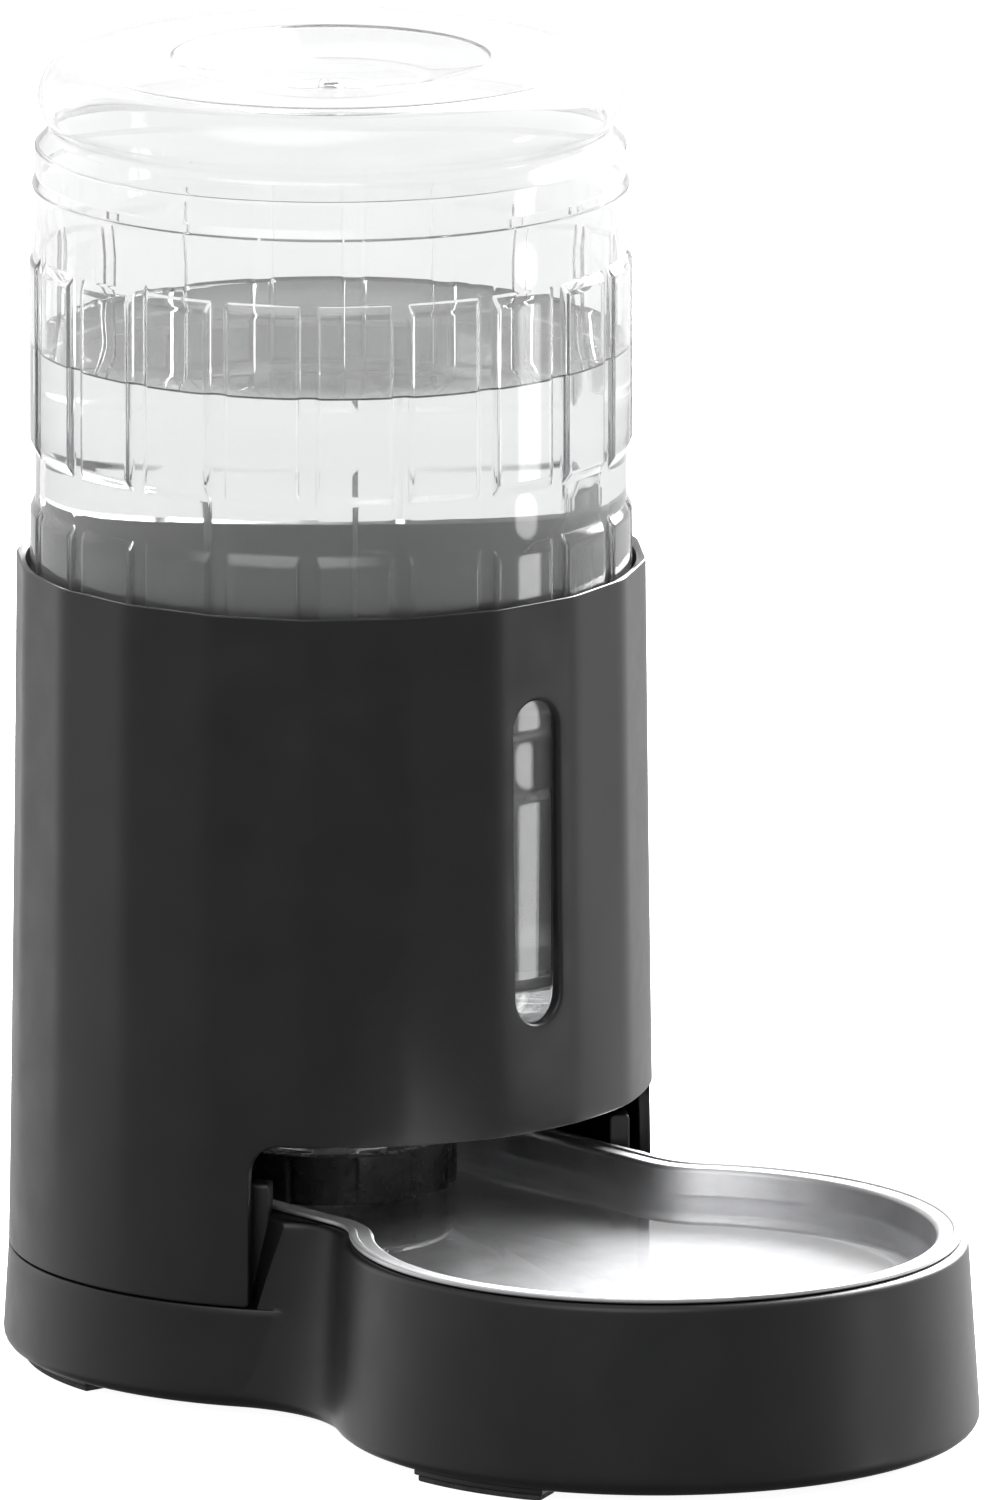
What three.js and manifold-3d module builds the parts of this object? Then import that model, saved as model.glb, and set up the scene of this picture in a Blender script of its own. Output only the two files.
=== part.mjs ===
// Gravity pet waterer: a clear bottle stands upside down in a casing over a stainless pan.
// Millimetres, +Z up. The origin is on the floor under the middle of the outline.
// The front, where the animal drinks, faces -Y, and the bottle tower stands at the back.
import * as THREE from 'three';
import { mergeVertices } from 'three/addons/utils/BufferGeometryUtils.js';
import Module from 'manifold-3d';

const wasm = await Module();
wasm.setup();

// ---- Driving dimensions -------------------------------------------------------------------

const GAP = 0.3;                    // clearance left wherever two pieces touch
const AXLE_SPACING = 131.2;         // tower centre to bowl centre
const TOWER_Y = 64.9;
const BOWL_Y = TOWER_Y - AXLE_SPACING;

const BASE_BOTTOM = 3;              // the feet lift the tub off the floor
const JOINT_Z = 30.2;               // parting line between tub and casing
const BASE_TOP = 54;
const BASE_WALL = 3;
const BASE_EDGE = 4;                // rounding of the tub's bottom edge
const TOWER_R_BOTTOM = 87.5;
const TOWER_R_JOINT = 86.1;
const BOWL_R_BOTTOM = 86.1;
const WAIST_R = 38;                 // concave waist between the two rounds, at the bottom
const RIM_MARGIN = 1.9;             // width of tub wall left showing round the pan
const RIM_REST = 2;                 // how far the tub's rim reaches under the pan's flange
const SPIGOT_R = 79.5;              // upstanding ring that the casing fits over
const SPIGOT_WALL = 3;
const SPIGOT_TOP = 63;
const POST_DEPTH = 5.2;             // the spigot is thicker at its two ends

const FOOT_SPAN = 29;               // degrees of the round that one foot follows
const FOOT_OUTER_R = 83;
const FOOT_INNER_R = 71;
const FOOT_BOSS = 1.2;

const CASING_TOP = 216.9;
const CASING_R_TOP = 84;            // over the corners of the facets
const CASING_BORE_R = 81.1;
const FACETS = 20;
const FACET_HALF = 7.6;             // degrees from a facet's middle to its softened corner
const CUTOUT_HALF_ANGLE = 55.4;
const CUTOUT_TOP = 74.2;
const CUTOUT_CORNER = 8;
const SLOT_WIDTH = 15.5;
const SLOT_LOW = 103.3;
const SLOT_HIGH = 190.5;
const LEDGE_LOW = 78;               // inner ledge that carries the cradle
const LEDGE_HIGH = 80.5;
const LEDGE_R = 74;

const SCREW_R = 1.5;
const SCREW_TOP = 88;
const SCREW_CIRCLE = 77.2;
const SCREW_COUNT = 4;

const PAN_SIDE = 57.8;              // half width where the pan runs back under the bottle
const PAN_BOWL_R = 81.1;
const PAN_FILLET = 20;
const PAN_TOP = 55.7;
const PAN_DEPTH = 30;
const PAN_SHEET = 0.9;
const PAN_FLANGE = 5.6;
const BEAD_WIDTH = 1.9;             // rolled edge of the flange

const BOTTLE_R = 80;                // over the moulded panels
const BAND_R = 78.6;                // between the rows of panels
const BOTTLE_WALL = 1.2;
const BOTTLE_TOP = 351.6;
const PANEL_HEIGHT = 53.8;
const PANEL_PITCH = 67.45;
const FIRST_PANEL_LOW = 111.4;
const BOTTLE_SIDES = 40;
const NECK_R = 28.6;
const NECK_BORE_R = 26;
const MOUTH_Z = 49;

const CAP_R = 33.4;
const CAP_BORE_R = 30.2;
const CAP_LOW = 44;
const CAP_HIGH = 60.1;
const CAP_PLATE = 2.5;
const CAP_GROOVES = 12;
const VALVE_HOLE_R = 7;
const VALVE_LIFT = 2.9;             // how far the pan holds the valve off its seat
const SEAL_THICK = 1.8;
const STEM_R = 2.6;
const HEAD_R = 9.5;
const SPRING_R = 5.2;
const GUIDE_TOP = 73;

const REAR_STEPS = 14;              // points along each stretch of the keyhole outlines
const WAIST_STEPS = 5;
const KNEE_Y = 28;
const FLANK_KNEE = 2.8;
const BOWL_STEPS = 36;

// ---- Materials ----------------------------------------------------------------------------

const material = (color, roughness, metalness, opacity = 1) => new THREE.MeshStandardMaterial({
  color, roughness, metalness, opacity, transparent: opacity < 1,
});
const blackPlastic = () => material(0x202022, 0.5, 0);
const whitePlastic = () => material(0xe6e6e2, 0.4, 0);
const clearPlastic = () => material(0xf4f8fa, 0.05, 0, 0.3);
const rubber = () => material(0x1b1b1c, 0.85, 0);
const silicone = () => material(0xc9cccb, 0.7, 0);
const stainless = () => material(0xc8cacc, 0.3, 1);
const zincSteel = () => material(0xb4b6b8, 0.4, 1);

// ---- Solids -------------------------------------------------------------------------------

// Volume inside a closed triangle mesh; it is negative while the faces point inwards.
function signedVolume(positions, index) {
  const corner = (i) => new THREE.Vector3().fromArray(positions, 3 * index[i]);
  let volume = 0;
  for (let i = 0; i < index.length; i += 3) {
    volume += corner(i).dot(corner(i + 1).cross(corner(i + 2))) / 6;
  }
  return volume;
}

// A closed BufferGeometry becomes a manifold solid with its faces pointing out.
function toSolid(geometry) {
  const bare = geometry.clone();
  bare.deleteAttribute('normal');
  bare.deleteAttribute('uv');
  const merged = mergeVertices(bare, 1e-4);
  const all = Array.from(merged.index.array);
  const kept = (i) => new Set(all.slice(i - i % 3, i - i % 3 + 3)).size === 3;
  const index = all.filter((_, i) => kept(i));
  if (signedVolume(merged.attributes.position.array, index) < 0) index.reverse();
  return new wasm.Manifold(new wasm.Mesh({
    numProp: 3,
    vertProperties: new Float32Array(merged.attributes.position.array),
    triVerts: new Uint32Array(index),
  }));
}

function toGeometry(solid) {
  const mesh = solid.getMesh();
  const geometry = new THREE.BufferGeometry();
  geometry.setAttribute('position', new THREE.BufferAttribute(mesh.vertProperties, 3));
  geometry.setIndex(new THREE.BufferAttribute(mesh.triVerts, 1));
  geometry.computeVertexNormals();
  return geometry;
}

// Turned solid about +Z. The [radius, height] pairs start and end on the axis, or run once
// round a ring's section.
function turned(profile, segments = 48) {
  const points = profile.map(([radius, height]) => new THREE.Vector2(radius, height));
  if (profile[0][0] > 0) points.push(points[0].clone());
  return toSolid(new THREE.LatheGeometry(points, segments).rotateX(Math.PI / 2));
}

const cylinder = (radius, low, high, segments = 48) =>
  turned([[0, low], [radius, low], [radius, high], [0, high]], segments);

const ring = (outer, inner, low, high, segments = 48) =>
  turned([[inner, low], [outer, low], [outer, high], [inner, high]], segments);

const box = (sizeX, sizeY, sizeZ, x, y, z) =>
  toSolid(new THREE.BoxGeometry(sizeX, sizeY, sizeZ).translate(x, y, z));

function indexedSolid(positions, index) {
  const geometry = new THREE.BufferGeometry();
  geometry.setAttribute('position', new THREE.Float32BufferAttribute(positions, 3));
  geometry.setIndex(index);
  return toSolid(geometry);
}

// Solid through a stack of level outlines: [height, outline] pairs from the bottom up.
// The outlines match point for point.
function loft(levels) {
  const count = levels[0][1].length;
  const index = [];
  for (let level = 0; level < levels.length - 1; level++) {
    for (let i = 0; i < count; i++) {
      const a = level * count + i;
      const b = level * count + (i + 1) % count;
      index.push(a, b, b + count, a, b + count, a + count);
    }
  }
  const fill = (level, [first, second, third]) => {
    const outline = levels[level][1].map(([x, y]) => new THREE.Vector2(x, y));
    for (const triangle of THREE.ShapeUtils.triangulateShape(outline, [])) {
      const at = (i) => level * count + triangle[i];
      index.push(at(first), at(second), at(third));
    }
  };
  fill(0, [0, 2, 1]);
  fill(levels.length - 1, [0, 1, 2]);
  const geometry = new THREE.BufferGeometry();
  const positions = levels.flatMap(([z, outline]) => outline.flatMap(([x, y]) => [x, y, z]));
  geometry.setAttribute('position', new THREE.Float32BufferAttribute(positions, 3));
  geometry.setIndex(index);
  return toSolid(geometry);
}

// ---- Round walls and outlines -------------------------------------------------------------

const radians = THREE.MathUtils.degToRad;
const degrees = THREE.MathUtils.radToDeg;

// Angles round the tower and the bowl are measured from the front, positive towards +X.
const onRound = (centreY) => (radius, angle) => [
  radius * Math.sin(radians(angle)),
  centreY - radius * Math.cos(radians(angle)),
];
const onAxis = onRound(0);
const onTower = onRound(TOWER_Y);
const onBowl = onRound(BOWL_Y);

const arc = (steps, from, to, place) =>
  Array.from({ length: steps + 1 }, (_, i) => place(from + (to - from) * i / steps));

// Plan of a bar that follows a round, and the bar between two heights.
const barPlan = (onCircle, middle, span, innerR, outerR, steps) => [
  ...arc(steps, middle - span / 2, middle + span / 2, (a) => onCircle(outerR, a)),
  ...arc(steps, middle + span / 2, middle - span / 2, (a) => onCircle(innerR, a)),
];

function arcBar(onCircle, middle, span, innerR, outerR, low, high, steps = 6) {
  const plan = barPlan(onCircle, middle, span, innerR, outerR, steps);
  return loft([[low, plan], [high, plan]]);
}

// Keyhole outline from above: the bowl's round, a concave waist and a round back. The waist
// arc on the +X side has a centre, a radius, and the turns where it meets bowl and back.
// Behind it the flank may keep a little outside its straight line, as far back as the knee.
function keyhole(rearR, bowlR, waist, knee = 0) {
  const waistPoint = (turn) => [
    waist.x - waist.radius * Math.sin(radians(turn)),
    waist.y + waist.radius * Math.cos(radians(turn)),
  ];
  const right = arc(WAIST_STEPS, waist.bowlTurn, waist.rearTurn, waistPoint);
  const left = right.map(([x, y]) => [-x, y]).reverse();
  return [
    ...arc(BOWL_STEPS, -waist.bowlTurn, waist.bowlTurn, (a) => onBowl(bowlR, a)),
    ...right.slice(1),
    [rearR + knee, KNEE_Y],
    ...arc(REAR_STEPS, 90, 270, (a) => onTower(rearR, a)),
    [-rearR - knee, KNEE_Y],
    ...left.slice(0, -1),
  ];
}

// The pan's outline grown outwards by offset: straight flanks lead into the bowl.
function panOutline(offset) {
  const x = PAN_SIDE + PAN_FILLET;
  const forward = Math.sqrt((PAN_BOWL_R + PAN_FILLET) ** 2 - x ** 2);
  return keyhole(PAN_SIDE + offset, PAN_BOWL_R + offset, {
    x,
    y: BOWL_Y + forward,
    radius: PAN_FILLET - offset,
    bowlTurn: degrees(Math.atan2(x, -forward)),
    rearTurn: 90,
  });
}

// The waist that is tangent to the tower's round and to the bowl's.
function tangentWaist(towerR, bowlR, waistR) {
  const toTower = towerR + waistR;
  const toBowl = bowlR + waistR;
  const forward = (toTower ** 2 - toBowl ** 2 + AXLE_SPACING ** 2) / (2 * AXLE_SPACING);
  const x = Math.sqrt(toTower ** 2 - forward ** 2);
  return {
    x,
    y: TOWER_Y - forward,
    radius: waistR,
    bowlTurn: degrees(Math.atan2(x, forward - AXLE_SPACING)),
    rearTurn: degrees(Math.atan2(x, forward)),
  };
}

// The tub's outline at the bottom, pulled in by inset; behind the waist the outline keeps to
// the wall of the pan's well, inside the tower's own round.
function footOutline(inset, wellR, knee = 0) {
  const waist = tangentWaist(TOWER_R_BOTTOM - inset, BOWL_R_BOTTOM - inset, WAIST_R + inset);
  return keyhole(wellR, BOWL_R_BOTTOM - inset, waist, knee);
}

// The tub's outline higher up: bowl and waist draw in towards the rim, while the wall still
// flares out behind the waist, to the edge of the casing's cut-out.
function flankOutline(z, inset = 0) {
  const low = BASE_BOTTOM + BASE_EDGE;
  const high = BASE_TOP - 2;
  const mix = (a, b, t) => a + (b - a) * t;
  const t = (z - low) / (high - low);
  const bowlR = mix(BOWL_R_BOTTOM, PAN_BOWL_R + RIM_MARGIN, t) - inset;
  const waistR = mix(WAIST_R, PAN_FILLET - RIM_MARGIN, t) + inset;
  const rimX = PAN_SIDE + PAN_FILLET;
  const rimY = BOWL_Y + Math.sqrt((PAN_BOWL_R + PAN_FILLET) ** 2 - rimX ** 2);
  const rimRear = Math.hypot(rimX, rimY - TOWER_Y) - PAN_FILLET + RIM_MARGIN;
  const above = (z - JOINT_Z) / (high - JOINT_Z);
  const rear = mix(TOWER_R_JOINT - 0.9, rimRear, above) - inset;
  return keyhole(PAN_SIDE + RIM_MARGIN, bowlR, tangentWaist(rear, bowlR, waistR), FLANK_KNEE);
}

// ---- The assembly -------------------------------------------------------------------------

const part = new THREE.Group();
const tower = new THREE.Group();    // its pieces are centred on the bottle's axis
tower.position.y = TOWER_Y;
part.add(tower);

function add(group, name, solid, look) {
  const mesh = new THREE.Mesh(toGeometry(solid), look);
  mesh.name = name;
  group.add(mesh);
}

// ---- Base tub and feet --------------------------------------------------------------------

const FEET = [
  { name: 'foot_rear_right', circle: onTower, angle: 107 },
  { name: 'foot_rear_left', circle: onTower, angle: -107 },
  { name: 'foot_front_right', circle: onBowl, angle: 76.5 },
  { name: 'foot_front_left', circle: onBowl, angle: -76.5 },
];

function baseTub() {
  const wellR = PAN_SIDE + RIM_MARGIN;
  const floor = BASE_BOTTOM + BASE_WALL;
  const stepLow = JOINT_Z - BASE_WALL;
  const [easeIn, easeUp] = [1.2, 1.2];      // middle point of the rounded bottom edge

  const round = turned([
    [0, BASE_BOTTOM], [TOWER_R_BOTTOM - BASE_EDGE, BASE_BOTTOM],
    [TOWER_R_BOTTOM - easeIn, BASE_BOTTOM + easeUp], [TOWER_R_BOTTOM, BASE_BOTTOM + BASE_EDGE],
    [TOWER_R_JOINT, JOINT_Z], [0, JOINT_Z],
  ], 72)
    .subtract(cylinder(TOWER_R_JOINT - BASE_WALL, floor, stepLow, 72))
    .subtract(cylinder(SPIGOT_R - SPIGOT_WALL, floor + 1, JOINT_Z + 1, 72));
  const flank = loft([
    [BASE_BOTTOM, footOutline(BASE_EDGE, wellR, FLANK_KNEE)],
    [BASE_BOTTOM + easeUp, footOutline(easeIn, wellR, FLANK_KNEE)],
    [BASE_BOTTOM + BASE_EDGE, footOutline(0, wellR, FLANK_KNEE)],
    [JOINT_Z, flankOutline(JOINT_Z)],
    [BASE_TOP - 2, flankOutline(BASE_TOP - 2)],
    [BASE_TOP - 0.6, flankOutline(BASE_TOP - 2, 0.6)],
    [BASE_TOP, flankOutline(BASE_TOP - 2, 1.8)],
  ]);
  const well = loft([
    [floor, footOutline(BASE_WALL + BASE_EDGE / 2, PAN_SIDE - 2)],
    [BASE_TOP + 1, panOutline(-RIM_REST)],
  ]);
  const spigotSpan = 360 - 2 * CUTOUT_HALF_ANGLE;
  const spigot = arcBar(
    onTower, 180, spigotSpan, SPIGOT_R - SPIGOT_WALL, SPIGOT_R, stepLow, SPIGOT_TOP, 54,
  );

  let tub = round.translate(0, TOWER_Y, 0).add(flank).subtract(well).add(spigot);
  for (const side of [-1, 1]) {
    const middle = side * (CUTOUT_HALF_ANGLE - 0.9);
    tub = tub.add(arcBar(
      onTower, middle, 3.6, SPIGOT_R - POST_DEPTH, SPIGOT_R, stepLow, SPIGOT_TOP, 2,
    ));
  }
  for (const { circle, angle } of FEET) {
    tub = tub.add(arcBar(
      circle, angle, FOOT_SPAN, FOOT_INNER_R, FOOT_OUTER_R,
      BASE_BOTTOM - FOOT_BOSS, BASE_BOTTOM + 1,
    ));
  }
  return tub;
}

add(part, 'base_tub', baseTub(), blackPlastic());
for (const { name, circle, angle } of FEET) {
  const top = BASE_BOTTOM - FOOT_BOSS - GAP;
  add(part, name, arcBar(
    circle, angle, FOOT_SPAN - 1.4, FOOT_INNER_R + 1, FOOT_OUTER_R - 1, 0, top,
  ), rubber());
}

// ---- Pan ----------------------------------------------------------------------------------

function pan() {
  const rest = BASE_TOP + GAP;
  const flangeTop = rest + PAN_SHEET;
  const floorTop = PAN_TOP - PAN_DEPTH;
  const floorLow = floorTop - PAN_SHEET;
  const wallOut = -PAN_FLANGE + PAN_SHEET;
  const outside = loft([
    [floorLow, panOutline(-17)],
    [floorLow + 1.6, panOutline(-11.8)],
    [floorLow + 5.4, panOutline(-8)],
    [rest, panOutline(wallOut)],
    [rest + 0.01, panOutline(-0.3)],
    [rest + 0.5, panOutline(0)],
    [PAN_TOP - 0.4, panOutline(0)],
    [PAN_TOP, panOutline(-0.4)],
  ]);
  const inside = loft([
    [floorTop, panOutline(-17.6)],
    [floorTop + 1.4, panOutline(-12.6)],
    [floorTop + 5, panOutline(-8.9)],
    [flangeTop - 0.01, panOutline(-PAN_FLANGE)],
    [flangeTop, panOutline(-BEAD_WIDTH)],
    [PAN_TOP + 1, panOutline(-BEAD_WIDTH + 0.5)],
  ]);
  return outside.subtract(inside);
}

add(part, 'pan', pan(), stainless());

// ---- Casing, cradle and its screws --------------------------------------------------------

const SCREW_SPOTS = Array.from({ length: SCREW_COUNT }, (_, i) =>
  onAxis(SCREW_CIRCLE, 45 + i * 360 / SCREW_COUNT));

// Level outline of the casing: facets with softened corners that fade into a circle.
function casingOutline(z, inset = 0) {
  const rise = (z - JOINT_Z) / (CASING_TOP - JOINT_Z);
  const cornerR = TOWER_R_JOINT + (CASING_R_TOP - TOWER_R_JOINT) * rise - inset;
  const flatness = Math.min(1, rise * 1.6);
  const pitch = 360 / FACETS;
  return Array.from({ length: FACETS }, (_, facet) => arc(4, -FACET_HALF, FACET_HALF, (turn) => {
    const flatR = cornerR * Math.cos(radians(pitch / 2)) / Math.cos(radians(turn));
    return onAxis(cornerR + (flatR - cornerR) * flatness, facet * pitch + turn);
  })).flat();
}

function casing() {
  const low = JOINT_Z + GAP;
  const levels = [low, 75, 115, 150, CASING_TOP - 0.8];
  const shell = loft([
    ...levels.map((z) => [z, casingOutline(z)]),
    [CASING_TOP, casingOutline(CASING_TOP, 0.8)],
  ]);
  const bore = turned([
    [0, low - 1], [CASING_BORE_R + 2, low - 1], [CASING_BORE_R, 100],
    [CASING_BORE_R, CASING_TOP + 1], [0, CASING_TOP + 1],
  ], 80);
  const ledge = ring(CASING_BORE_R + 0.9, LEDGE_R, LEDGE_LOW, LEDGE_HIGH, 80);

  const cornerAngle = degrees(CUTOUT_CORNER / TOWER_R_JOINT);
  const cutoutPlan = (halfAngle) =>
    barPlan(onAxis, 0, 2 * halfAngle, LEDGE_R - 10, TOWER_R_JOINT + 5, 16);
  const cutout = loft([
    [low - 5, cutoutPlan(CUTOUT_HALF_ANGLE)],
    ...arc(4, 0, 90, (turn) => [
      CUTOUT_TOP - CUTOUT_CORNER * (1 - Math.sin(radians(turn))),
      cutoutPlan(CUTOUT_HALF_ANGLE - cornerAngle * (1 - Math.cos(radians(turn)))),
    ]),
  ]);

  const slotR = SLOT_WIDTH / 2;
  const slotShape = new THREE.Shape()
    .absarc(0, SLOT_HIGH - slotR, slotR, 0, Math.PI, false)
    .absarc(0, SLOT_LOW + slotR, slotR, Math.PI, 2 * Math.PI, false);
  const slot = toSolid(new THREE.ExtrudeGeometry(
    slotShape, { depth: 30, bevelEnabled: false, curveSegments: 10 },
  ).rotateX(Math.PI / 2).translate(0, -70, 0));

  let body = shell.subtract(bore).add(ledge).subtract(cutout).subtract(slot);
  for (const [x, y] of SCREW_SPOTS) {
    body = body.subtract(cylinder(SCREW_R + GAP, LEDGE_LOW - 1, LEDGE_HIGH + 1, 12)
      .translate(x, y, 0));
  }
  return body;
}

// Funnel ring that the bottle's shoulder sits in.
function cradle() {
  const low = LEDGE_HIGH + GAP;
  const outerR = CASING_BORE_R - 0.9;
  let body = turned([
    [46, 68.8], [73, 86.6], [73.8, low], [outerR, low],
    [outerR, 94], [78.6, 94], [75.2, 90.6], [46, 71.4],
  ], 48);
  for (const [x, y] of SCREW_SPOTS) {
    body = body.subtract(cylinder(SCREW_R + GAP, low - 1, SCREW_TOP + GAP, 12)
      .translate(x, y, 0));
  }
  return body;
}

add(tower, 'casing', casing(), blackPlastic());
add(tower, 'bottle_cradle', cradle(), blackPlastic());
SCREW_SPOTS.forEach(([x, y], i) => {
  const under = LEDGE_LOW - GAP;
  const screw = turned([
    [0, under - 2.2], [2.2, under - 2.2], [3.1, under - 1.4], [3.1, under],
    [SCREW_R, under], [SCREW_R, SCREW_TOP - 1.2], [0, SCREW_TOP],
  ], 12).translate(x, y, 0);
  add(tower, `cradle_screw_${i + 1}`, screw, zincSteel());
});

// ---- Bottle -------------------------------------------------------------------------------

function bottle() {
  const thread = (z) => [[NECK_R, z - 0.8], [NECK_R + 0.9, z], [NECK_R, z + 0.8]];
  const panelRow = (row) => {
    const low = FIRST_PANEL_LOW + row * PANEL_PITCH;
    const high = low + PANEL_HEIGHT;
    return [[BAND_R, low], [BOTTLE_R, low + 1.4], [BOTTLE_R, high - 1.4], [BAND_R, high]];
  };
  const outside = turned([
    [0, MOUTH_Z], [NECK_R, MOUTH_Z], ...thread(52), ...thread(56),
    [NECK_R, 60.9], [31, 61.4], [31, 62], [74.3, 91.4], [77.3, 94.6], [BAND_R, 99.5],
    ...[0, 1, 2].flatMap(panelRow),
    [BAND_R, 316], [79.3, 318], [78.4, 320], [78.5, 328], [73.9, 333.2], [76.1, 335.8],
    [77.4, 338.8], [77.7, 341.3], [76.8, 346.4], [73.1, 350.2], [67.9, BOTTLE_TOP], [41.6, BOTTLE_TOP],
    [37, 350.5], [25, 345.6], [12, 343.9], [3.2, 343.6], [2.7, 345.4], [0, 345.8],
  ], BOTTLE_SIDES);
  const inside = turned([
    [0, MOUTH_Z - 1], [NECK_BORE_R, MOUTH_Z - 1], [NECK_BORE_R, 60.1],
    [73.6, 92.4], [76.4, 95.6], [BAND_R - BOTTLE_WALL, 99.7], [BAND_R - BOTTLE_WALL, 316],
    [77.2, 327.5], [72.5, 333], [74.9, 336.4], [76.1, 339], [76.5, 341.3], [75.6, 345.8], [72.5, 349.1], [67.6, 350.4],
    [42, 350.4], [36.6, 349.2], [24.4, 344.4], [12, 342.7], [0, 342.4],
  ], BOTTLE_SIDES);
  return outside.subtract(inside);
}

add(tower, 'bottle', bottle(), clearPlastic());

// ---- Cap and valve ------------------------------------------------------------------------

const plateTop = CAP_LOW + CAP_PLATE;

function cap() {
  let body = turned([
    [VALVE_HOLE_R, CAP_LOW], [CAP_R - 1.4, CAP_LOW], [CAP_R, CAP_LOW + 2.2],
    [CAP_R, CAP_HIGH - 0.5], [CAP_R - 0.5, CAP_HIGH], [CAP_BORE_R, CAP_HIGH],
    [CAP_BORE_R, plateTop], [VALVE_HOLE_R, plateTop],
  ], 48);
  for (let i = 0; i < CAP_GROOVES; i++) {
    const groove = box(1.4, 1.2, CAP_HIGH - CAP_LOW, 0, -CAP_R, (CAP_LOW + CAP_HIGH) / 2 + 2.5);
    body = body.subtract(groove.rotate([0, 0, i * 360 / CAP_GROOVES]));
  }
  return body;
}

// Open cage that stands on the cap's plate, holds the spring down and guides the stem.
function valveGuide() {
  const low = plateTop + GAP;
  const cage = turned([
    [12.2, low], [16, low], [16, low + 2.2], [14, low + 2.2], [14, GUIDE_TOP],
    [STEM_R + 0.8, GUIDE_TOP], [STEM_R + 0.8, GUIDE_TOP - 2], [12.2, GUIDE_TOP - 2],
  ], 24);
  const windowLow = low + 4.2;
  const windowHeight = GUIDE_TOP - 4 - windowLow;
  const windowZ = windowLow + windowHeight / 2;
  return cage
    .subtract(box(14, 40, windowHeight, 0, 0, windowZ))
    .subtract(box(40, 14, windowHeight, 0, 0, windowZ));
}

const sealLow = plateTop + VALVE_LIFT;
const headLow = sealLow + SEAL_THICK + GAP;
const headTop = headLow + 2.5;
const tipLow = PAN_TOP - PAN_DEPTH + GAP;
const tipTop = tipLow + 1.5;

function valveSpring() {
  const wireR = 0.55;
  const turns = 5;
  const low = headTop + wireR + GAP;
  const high = GUIDE_TOP - 2 - wireR - GAP;
  class Helix extends THREE.Curve {
    getPoint(t, target = new THREE.Vector3()) {
      const [x, y] = onAxis(SPRING_R, 360 * turns * t);
      return target.set(x, y, low + (high - low) * t);
    }
  }
  const wire = new THREE.Shape(
    arc(5, 0, 300, (a) => new THREE.Vector2(...onAxis(wireR, a))),
  );
  return toSolid(new THREE.ExtrudeGeometry(wire, {
    steps: 10 * turns, extrudePath: new Helix(), bevelEnabled: false,
  }));
}

add(tower, 'cap', cap(), blackPlastic());
add(tower, 'cap_gasket', ring(29.3, 24.5, plateTop + GAP, MOUTH_Z - GAP, 40), silicone());
add(tower, 'valve_guide', valveGuide(), whitePlastic());
add(tower, 'valve_plunger', turned([
  [0, tipTop + GAP], [STEM_R + 0.4, tipTop + GAP], [STEM_R + 0.4, headLow], [HEAD_R, headLow],
  [HEAD_R, headTop], [STEM_R, headTop], [STEM_R, GUIDE_TOP + 4], [0, GUIDE_TOP + 5],
], 24), whitePlastic());
add(tower, 'valve_seal', ring(
  HEAD_R + 0.5, STEM_R + 0.7, sealLow, sealLow + SEAL_THICK, 24,
), silicone());
add(tower, 'valve_spring', valveSpring(), stainless());
add(tower, 'stem_tip', cylinder(STEM_R + 2, tipLow, tipTop, 24), silicone());

export default part;
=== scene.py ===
"""Looks of the gravity pet waterer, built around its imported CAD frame.

Lengths in the helpers are millimetres in the row frame and become metres when a mesh is
made. Angles round the tower and the bowl are degrees from the front, positive towards +X.
"""

import math

import bmesh
import bpy
import numpy as np
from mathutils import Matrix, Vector, geometry


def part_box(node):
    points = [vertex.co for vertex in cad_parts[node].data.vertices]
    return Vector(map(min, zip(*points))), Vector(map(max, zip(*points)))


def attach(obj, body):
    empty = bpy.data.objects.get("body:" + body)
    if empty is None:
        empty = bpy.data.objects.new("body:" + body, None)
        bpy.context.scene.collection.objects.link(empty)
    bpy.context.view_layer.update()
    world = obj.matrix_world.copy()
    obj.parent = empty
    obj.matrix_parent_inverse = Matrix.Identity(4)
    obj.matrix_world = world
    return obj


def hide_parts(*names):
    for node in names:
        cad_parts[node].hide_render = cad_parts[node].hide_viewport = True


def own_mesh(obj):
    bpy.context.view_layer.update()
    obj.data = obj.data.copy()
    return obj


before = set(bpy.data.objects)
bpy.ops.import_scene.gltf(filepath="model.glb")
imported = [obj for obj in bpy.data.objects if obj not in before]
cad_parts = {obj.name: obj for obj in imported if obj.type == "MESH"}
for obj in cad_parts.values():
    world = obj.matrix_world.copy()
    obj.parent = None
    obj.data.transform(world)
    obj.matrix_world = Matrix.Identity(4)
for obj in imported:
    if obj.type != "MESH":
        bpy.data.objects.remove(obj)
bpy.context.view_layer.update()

MM = 0.001


# ---- Dimensions read from the frame --------------------------------------------------------


def box_mm(node):
    low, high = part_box(node)
    return low / MM, high / MM


tub_low, tub_high = box_mm("base_tub")
casing_low, casing_high = box_mm("casing")
pan_low, pan_high = box_mm("pan")
bottle_low, bottle_high = box_mm("bottle")
cap_low, cap_high = box_mm("cap")

TOWER_Y = (bottle_low.y + bottle_high.y) / 2
BASE_R = tub_high.x                       # tower round at the foot of the tub
JOINT_R = casing_high.x
JOINT_Z = casing_low.z - 0.3              # top of the tub's edge, a gap below the casing
CASING_TOP = casing_high.z
PAN_TOP = pan_high.z
PAN_BOWL_R = pan_high.x
BOWL_Y = pan_low.y + PAN_BOWL_R
PAN_SHEET = 0.9
PAN_FLOOR = pan_low.z + PAN_SHEET         # inner side of the floor
BOTTLE_R = bottle_high.x
BOTTLE_TOP = bottle_high.z
MOUTH_Z = bottle_low.z
CAP_R = cap_high.x

# ---- Dimensions of the visible shapes ------------------------------------------------------

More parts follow.
